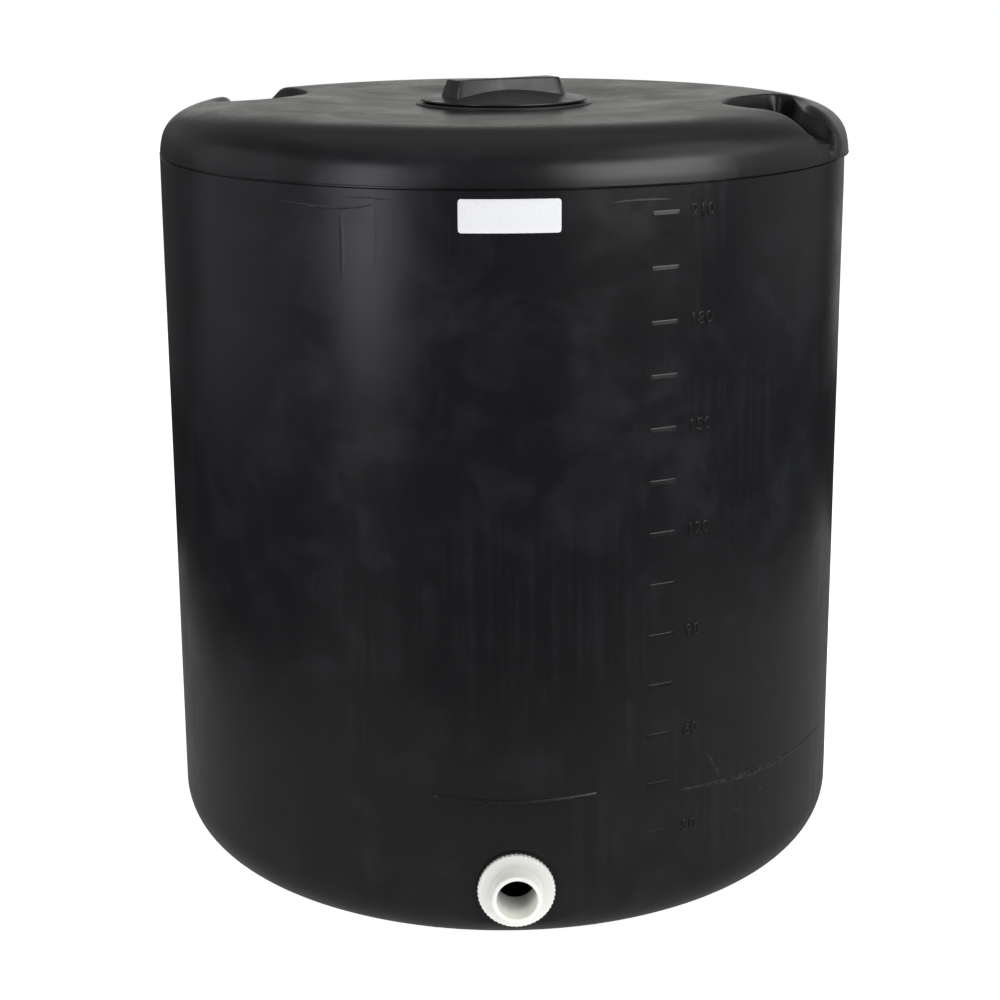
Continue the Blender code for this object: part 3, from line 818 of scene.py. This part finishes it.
class OBJECT_OT_wall_creases(bpy.types.Operator):
    """Build the creases and scuffs that handling left on the wall, and the mould's upright ripples; the
    creases' light grey is partly painted reflection
    """
    bl_idname = "object.tank_wall_creases"
    bl_label = "Wall Creases"

    def execute(self, context):
        settings = context.scene.tank_shell
        ridges = [ribbon(path, width, relief, settings.ripple) for path, width, relief in CREASES]
        mesh = skin_mesh("wall_creases", ridges, 60.0)
        # The creases' light grey is partly stress whitening and partly painted reflection of the floor and
        # lights
        add_piece(mesh, scuffed_polyethylene(settings), "tank")
        ridges = []
        for azimuth, top, foot, width, relief in RIPPLES:
            path = [(azimuth, foot), (azimuth + 0.1, (top + foot) / 2), (azimuth, top)]
            ridges.append(ribbon(path, width, relief, settings.ripple))
        add_shell_piece(skin_mesh("wall_ripples", ridges, 60.0))
        return {"FINISHED"}


class OBJECT_OT_blank_label(bpy.types.Operator):
    """Build the blank label on the front of the wall"""
    bl_idname = "object.tank_blank_label"
    bl_label = "Blank Label"

    def execute(self, context):
        low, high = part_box("front_label")
        azimuth = math.degrees(math.atan2((low.x + high.x) / 2, TANK_RADIUS))
        depth = context.scene.tank_shell.ripple

        def lift_at(across, up):
            edge = np.minimum(1 - np.abs(across) ** 30, 1 - np.abs(up) ** 12)
            return 0.0009 * np.clip(edge * 4, 0, 1) - 0.0002

        width, tall, middle = high.x - low.x, high.z - low.z, (low.z + high.z) / 2
        points = patch(azimuth, middle, width, tall, 0.0045, 13, lift_at, depth)
        mesh = skin_mesh("front_sticker", [(points, False, False)], 60.0)
        add_piece(mesh, white_vinyl(context.scene.tank_marks), "tank", ["front_label"])
        return {"FINISHED"}


# Lid, seal and collar

def turned_grid(section, facets, ridge=0.0, pitch=1.0, ridged=()):
    """A section of (radius, height) turned about the dome's middle, with a thread on the named rows."""
    azimuths = np.arange(facets) * 360 / facets
    radius = np.array([point[0] for point in section], float)
    height = np.array([point[1] for point in section], float)
    points = round_grid(azimuths, radius, height, DOME_X)
    for row in ridged:
        phase = np.radians(azimuths) + math.tau * height[row] / pitch
        grown = ridge * np.maximum(np.sin(phase), 0)
        points[row, :, 0] += grown * np.sin(np.radians(azimuths))
        points[row, :, 1] -= grown * np.cos(np.radians(azimuths))
    return points


def thread_rows(radius, top, length):
    """The points of a section along a thread, from its foot up."""
    return [(radius, top - step) for step in np.arange(0, length, THREAD_STEP)][::-1]


class OBJECT_OT_lid_collar(bpy.types.Operator):
    """Build the collar that is fixed in the deck, and the rubber seal on it"""
    bl_idname = "object.tank_lid_collar"
    bl_label = "Lid Collar"

    def execute(self, context):
        finish = black_polypropylene(context.scene.tank_lid)
        low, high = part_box("lid_collar")
        outer, bore, barrel = high.x - DOME_X, 0.1010, 0.1084
        deck, top = DECK_MIDDLE + CLEARANCE, high.z
        thread = thread_rows(bore, top - 0.004, 0.028)
        ridge = [(outer - 0.0062, top - 0.0012), (outer - 0.0054, top - 0.0002), (outer - 0.0046, top)]
        rim = [(outer - 0.0032, top - 0.0001), (outer - 0.0020, top - 0.0005),
               (outer - 0.0010, top - 0.0012), (outer - 0.0003, top - 0.0021), (outer, top - 0.0032)]
        foot = [(outer, deck + (top - deck) * 0.2), (outer - 0.0004, deck), (barrel, deck), (barrel, low.z)]
        section = [(bore, low.z), *thread, (bore, top - 0.0008), (bore + 0.0008, top - 0.0012), *ridge,
                   *rim, *foot, (bore, low.z)]
        points = turned_grid(section, 192, -0.0009, LID_PITCH, range(2, len(thread)))
        mesh = skin_mesh("collar_ring", [(points, True, True)], 40.0)
        add_piece(mesh, finish, "tank", ["lid_collar"])

        low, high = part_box("lid_seal")
        inner, outer = 0.1025, high.x - DOME_X
        section = [(inner, low.z), (outer, low.z), (outer, high.z), (inner, high.z), (inner, low.z)]
        mesh = skin_mesh("seal_ring", [(turned_grid(section, 144), True, False)])
        add_piece(mesh, black_rubber(), "seal", ["lid_seal"])
        return {"FINISHED"}


def grip_plan(settings, inset):
    """The plan of the bow-tie grip about the dome's middle, with round corners."""
    sizes = (settings.grip_length, settings.grip_end, settings.grip_waist)
    half, end, waist = (size / 2 - inset for size in sizes)
    corner = 0.003
    along = np.linspace(half - 0.004, -half + 0.004, 21)
    side = np.stack([along, waist + (end - waist) * np.abs(along / half) ** 1.6], axis=1)
    bend = np.radians(np.linspace(10, 80, 4))
    tip = np.stack([half - corner + corner * np.cos(bend), end - corner + corner * np.sin(bend)], axis=1)
    upper = np.concatenate([tip, side, (tip * (-1, 1))[::-1]])
    plan = np.concatenate([upper, -upper])
    c, s = math.cos(math.radians(GRIP_TURN)), math.sin(math.radians(GRIP_TURN))
    return plan @ np.array([[c, s], [-s, c]]) + (DOME_X, 0.0)


class OBJECT_OT_screw_lid(bpy.types.Operator):
    """Build the screw lid's domed disc and threaded skirt, and the bow-tie grip on it"""
    bl_idname = "object.tank_screw_lid"
    bl_label = "Screw Lid"

    def execute(self, context):
        settings = context.scene.tank_lid
        finish = finish_of("black_polypropylene")
        low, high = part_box("lid_cap")
        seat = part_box("lid_seal")[1].z + CLEARANCE
        radius, rim, crown = high.x - DOME_X, 0.0025, 0.013
        outer, inner = 0.0985, 0.0945
        under = [(inner * t, seat + rim + crown - 0.0035 - 0.009 * t * t) for t in np.linspace(0, 1, 6)]
        thread = thread_rows(outer, seat - 0.003, 0.022)
        edge = [(radius - 0.0006, seat), (radius, seat + 0.0006), (radius, seat + rim - 0.0008),
                (radius - 0.0004, seat + rim - 0.0001)]
        top = [(radius * (1 - t), seat + rim + crown * math.sin(math.pi / 2 * t) ** 1.5)
               for t in np.linspace(0, 1, 28)[1:]]
        section = [*under, (inner, low.z), (outer, low.z), *thread, (outer, seat), *edge, *top]
        first = len(under) + 2
        points = turned_grid(section, 192, 0.0012, LID_PITCH, range(first + 1, first + len(thread) - 1))
        mesh = skin_mesh("lid_disc", [(points, True, False)], 40.0)
        add_piece(mesh, finish, "lid", ["lid_cap"])

        draft, rounding = settings.grip_draft, 0.0022
        foot, shoulder = seat + 0.003, high.z - rounding
        rows = [(-draft, foot), (0.0, (foot + high.z) / 2), (draft, shoulder)]
        rows += [(draft + rounding * (1 - math.cos(bend)), shoulder + rounding * math.sin(bend))
                 for bend in np.radians((22, 45, 68, 90))]
        rings = []
        for inset, z in rows:
            plan = grip_plan(settings, inset)
            rings.append(np.column_stack([plan, np.full(len(plan), z)]))
        mesh = skin_mesh("lid_grip", [(np.stack(rings), True, False)], 50.0, capped=True)
        add_piece(mesh, finish, "lid")
        return {"FINISHED"}


# Outlet

def outlet_grid(section, facets, change=None):
    """A section of (radius, distance out) turned about the outlet's axis; change alters a row's radius."""
    turn = np.arange(facets) * math.tau / facets
    rows = []
    for number, (radius, out) in enumerate(section):
        around = np.full(facets, radius)
        if change:
            around = change(number, around, turn, out)
        rows.append(np.stack([around * np.sin(turn), np.full(facets, -out),
                              OUTLET_HEIGHT - around * np.cos(turn)], axis=-1))
    return np.stack(rows)


class OBJECT_OT_outlet_fitting(bpy.types.Operator):
    """Build the toothed flange, stepped hub and threaded bore of the outlet fitting, and its gasket"""
    bl_idname = "object.tank_outlet_fitting"
    bl_label = "Outlet Fitting"

    def execute(self, context):
        settings = context.scene.tank_outlet
        finish = natural_polypropylene(settings)
        low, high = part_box("outlet_fitting")
        flange, hub_front, inner_end = high.x, -low.y, -high.y
        bore, barrel, hub = 0.0279, 0.0335, 0.0350
        back = -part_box("outlet_gasket")[0].y + CLEARANCE
        front = back + 0.0075
        # The line starts at the nut's end, goes up the barrel and round the flange, and returns down the bore
        rim = [(flange - 0.0004, back), (flange, back + 0.0006), (flange, back + 0.0030),
               (flange, front - 0.0016), (flange - 0.0006, front - 0.0006), (flange - 0.0018, front)]
        toothed = range(2, 2 + len(rim))
        hub_line = [(hub + 0.0035, front), (hub + 0.0012, front + 0.0006), (hub + 0.0002, front + 0.0024),
                    (hub, front + 0.005), (hub - 0.0004, hub_front - 0.0028),
                    (hub - 0.0012, hub_front - 0.0010), (hub - 0.0028, hub_front),
                    (bore + 0.0012, hub_front), (bore + 0.0003, hub_front - 0.0008)]
        thread = [(bore, out) for out in np.arange(hub_front - 0.0016, inner_end, -0.00055)]
        section = [(barrel, inner_end), (barrel, back), *rim, (flange - 0.0034, front), *hub_line,
                   *thread, (bore, inner_end), (barrel, inner_end)]
        first = 2 + len(rim) + 1 + len(hub_line)
        # The thread is 0.6 mm deep, and grows to that over its first twelve rows
        depth, start = 0.0006, 12

        def change(number, around, turn, out):
            if number in toothed:
                return around - settings.tooth * np.abs(np.sin(settings.teeth * turn / 2))
            if first < number < first + len(thread) - 1:
                fade = min(1.0, (number - first) / start)
                wave = (out / settings.pitch + turn / math.tau) % 1.0
                return around + depth * fade * (np.abs(2 * wave - 1) - 0.5)
            return around

        points = outlet_grid(section, settings.teeth * 8, change)
        mesh = skin_mesh("outlet_flange", [(points, True, False)], 40.0)
        add_piece(mesh, finish, "tank", ["outlet_fitting"])
        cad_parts["outlet_nut"].material_slots[0].material = finish

        low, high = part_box("outlet_gasket")
        radius, face, edge = high.x, -high.y, -low.y
        hole = barrel + CLEARANCE
        section = [(hole, face - 0.0003), (radius - 0.0004, face - 0.0003), (radius, face + 0.0004),
                   (radius, edge - 0.0005), (radius - 0.0005, edge), (hole, edge)]
        mesh = skin_mesh("flange_gasket", [(outlet_grid(section, 144), True, False)], 40.0)
        add_piece(mesh, finish_of("black_rubber"), "tank", ["outlet_gasket"])
        return {"FINISHED"}


# Stage

# Camera, in metres, degrees and millimetres, from a fit to the photo; the floor's half width in metres
CAMERA_PLACE = Vector((-0.0852, -2.9926, 1.3704))
CAMERA_HEADING, CAMERA_PITCH, CAMERA_ROLL = 1.531, 13.431, -0.328
CAMERA_LENS, CAMERA_SHIFT = 71.49, -0.0978
FLOOR_HALF = 12.0


def add_panel_light(name, azimuth, distance, height, size, brightness, aim, tint=(1.0, 1.0, 1.0)):
    """A soft panel that faces the tank; brightness is its radiance, and the camera doesn't see it."""
    light = bpy.data.lights.new(name, "AREA")
    light.shape = "RECTANGLE"
    light.size, light.size_y = size
    light.energy = brightness * math.pi * size[0] * size[1]
    light.color = tint
    panel = bpy.data.objects.new(name, light)
    turn = math.radians(azimuth)
    panel.location = (distance * math.sin(turn), -distance * math.cos(turn), height)
    panel.rotation_euler = (Vector(aim) - panel.location).to_track_quat("-Z", "Y").to_euler()
    panel.visible_camera = False
    bpy.context.scene.collection.objects.link(panel)
    return panel


class OBJECT_OT_studio_stage(bpy.types.Operator):
    """Build the pale floor, the soft lights, the white surround and the camera"""
    bl_idname = "object.tank_studio_stage"
    bl_label = "Studio Stage"

    def execute(self, context):
        settings, scene = context.scene.tank_stage, context.scene
        mesh = bpy.data.meshes.new("floor")
        corners = [(x * FLOOR_HALF, y * FLOOR_HALF, 0.0) for x, y in ((-1, -1), (1, -1), (1, 1), (-1, 1))]
        mesh.from_pydata(corners, [], [(0, 1, 2, 3)])
        # The paper shines a little short of white by itself, because the photo's ground has no shadows
        paper = new_material("matt_paper", linear("#F4F4F4"), 0.9, 1.45, Emission_Color=(1, 1, 1, 1),
                             Emission_Strength=0.97)[0]
        mesh.materials.append(paper)
        floor = bpy.data.objects.new("floor", mesh)
        floor.visible_glossy = False
        scene.collection.objects.link(floor)

        world = bpy.data.worlds.new("surround")
        world.use_nodes = True
        tree = world.node_tree
        tree.nodes.clear()
        # The room is dim overhead and darker near the floor, and the camera sees white
        way = add_node(tree, "ShaderNodeTexCoord").outputs["Generated"]
        height = add_node(tree, "ShaderNodeSeparateXYZ", {"Vector": way}).outputs["Z"]
        level = add_node(tree, "ShaderNodeMapRange", {"Value": height, "From Min": -0.05, "From Max": 0.15,
                                                      "To Min": 0.015, "To Max": settings.surround})
        dim = add_node(tree, "ShaderNodeBackground", {"Color": (1, 1, 1, 1),
                                                      "Strength": level.outputs["Result"]})
        white = add_node(tree, "ShaderNodeBackground", {"Color": (1, 1, 1, 1), "Strength": 1.0})
        seen = add_node(tree, "ShaderNodeLightPath").outputs["Is Camera Ray"]
        mixed = add_node(tree, "ShaderNodeMixShader", {0: seen, 1: dim.outputs[0], 2: white.outputs[0]})
        add_node(tree, "ShaderNodeOutputWorld", {"Surface": mixed.outputs[0]})
        scene.world = world

        cool, warm = (0.96, 0.94, 1.0), (1.0, 1.0, 0.94)
        add_panel_light("left_strip", -42, 2.9, 1.35, (0.8, 1.85), settings.strip, (0, 0, 1.2), cool)
        add_panel_light("left_side", -90, 3.0, 1.3, (2.6, 2.5), 1.3 * settings.sides, (0, 0, 1.0), cool)
        add_panel_light("left_back", -145, 3.0, 1.3, (2.4, 2.5), 0.27 * settings.sides, (0, 0, 1.0), cool)
        add_panel_light("key", 42.5, 3.06, 1.97, (2.6, 1.62), settings.key, (0.15, -0.2, 1.3))
        add_panel_light("right_side", 98, 3.0, 1.5, (2.6, 2.5), settings.sides, (0, 0, 1.0))
        add_panel_light("right_back", 147, 3.0, 1.2, (1.2, 2.2), 1.8 * settings.sides, (0, 0, 0.9))
        add_panel_light("back_wall", 180, 4.5, 1.15, (3.2, 2.3), settings.back, (0, 0, 0.9), warm)
        add_panel_light("overhead", 0, 0.01, 3.2, (3.0, 3.0), 0.18, (0.0, 0.0, 0.0))
        add_panel_light("high_right", 75, 2.4, 3.1, (2.2, 2.2), 0.80, (0.0, 0.0, 1.1))
        front = add_panel_light("front", 0, 3.4, 5.0, (3.0, 2.0), settings.front, (0, 0, 0.6))
        front.visible_glossy = False
        # The floor doesn't show in reflections, so this panel on it gives the foot its glow
        glow = add_panel_light("floor_glow", 0, 0.0, 0.002, (2.5, 2.5), settings.glow, (0.0, 0.001, 1.0))
        glow.visible_diffuse = False
        glow = add_panel_light("floor_glow_right", 90, 1.1, 0.002, (1.2, 2.6), 1.3 * settings.glow,
                               (1.1, 0.001, 1.0))
        glow.visible_diffuse = False

        data = bpy.data.cameras.new("camera")
        data.sensor_width = 36.0
        data.lens = CAMERA_LENS
        data.shift_y = CAMERA_SHIFT
        camera = bpy.data.objects.new("camera", data)
        heading = Matrix.Rotation(math.radians(-CAMERA_HEADING), 4, "Z")
        pitch = Matrix.Rotation(math.radians(90 - CAMERA_PITCH), 4, "X")
        roll = Matrix.Rotation(math.radians(CAMERA_ROLL), 4, "Z")
        camera.matrix_world = Matrix.Translation(CAMERA_PLACE) @ heading @ pitch @ roll
        scene.collection.objects.link(camera)
        scene.camera = camera
        scene.view_settings.view_transform = "Standard"
        return {"FINISHED"}


OPERATORS = (OBJECT_OT_tank_wall, OBJECT_OT_tank_top, OBJECT_OT_seam_flash, OBJECT_OT_level_bars,
             OBJECT_OT_level_numbers, OBJECT_OT_wall_creases, OBJECT_OT_blank_label, OBJECT_OT_lid_collar,
             OBJECT_OT_screw_lid, OBJECT_OT_outlet_fitting, OBJECT_OT_studio_stage)


class VIEW3D_PT_upright_tank(bpy.types.Panel):
    """Lists the tank's pieces and their settings"""
    bl_label = "Upright Tank"
    bl_space_type = "VIEW_3D"
    bl_region_type = "UI"
    bl_category = "Tank"

    def draw(self, context):
        for operator in OPERATORS:
            self.layout.operator(operator.bl_idname)
        for name, group in SETTINGS.items():
            box = self.layout.box()
            for prop in group.__annotations__:
                box.prop(getattr(context.scene, name), prop)


def register():
    for group in SETTINGS.values():
        bpy.utils.register_class(group)
    for name, group in SETTINGS.items():
        setattr(bpy.types.Scene, name, PointerProperty(type=group))
    for operator in OPERATORS:
        bpy.utils.register_class(operator)
    bpy.utils.register_class(VIEW3D_PT_upright_tank)


def unregister():
    bpy.utils.unregister_class(VIEW3D_PT_upright_tank)
    for operator in reversed(OPERATORS):
        bpy.utils.unregister_class(operator)
    for name, group in SETTINGS.items():
        delattr(bpy.types.Scene, name)
        bpy.utils.unregister_class(group)


def main():
    register()
    for build in (bpy.ops.object.tank_wall, bpy.ops.object.tank_top, bpy.ops.object.tank_seam_flash,
                  bpy.ops.object.tank_level_bars, bpy.ops.object.tank_level_numbers,
                  bpy.ops.object.tank_wall_creases, bpy.ops.object.tank_blank_label,
                  bpy.ops.object.tank_lid_collar, bpy.ops.object.tank_screw_lid,
                  bpy.ops.object.tank_outlet_fitting, bpy.ops.object.tank_studio_stage):
        build()


if __name__ == "__main__":
    main()
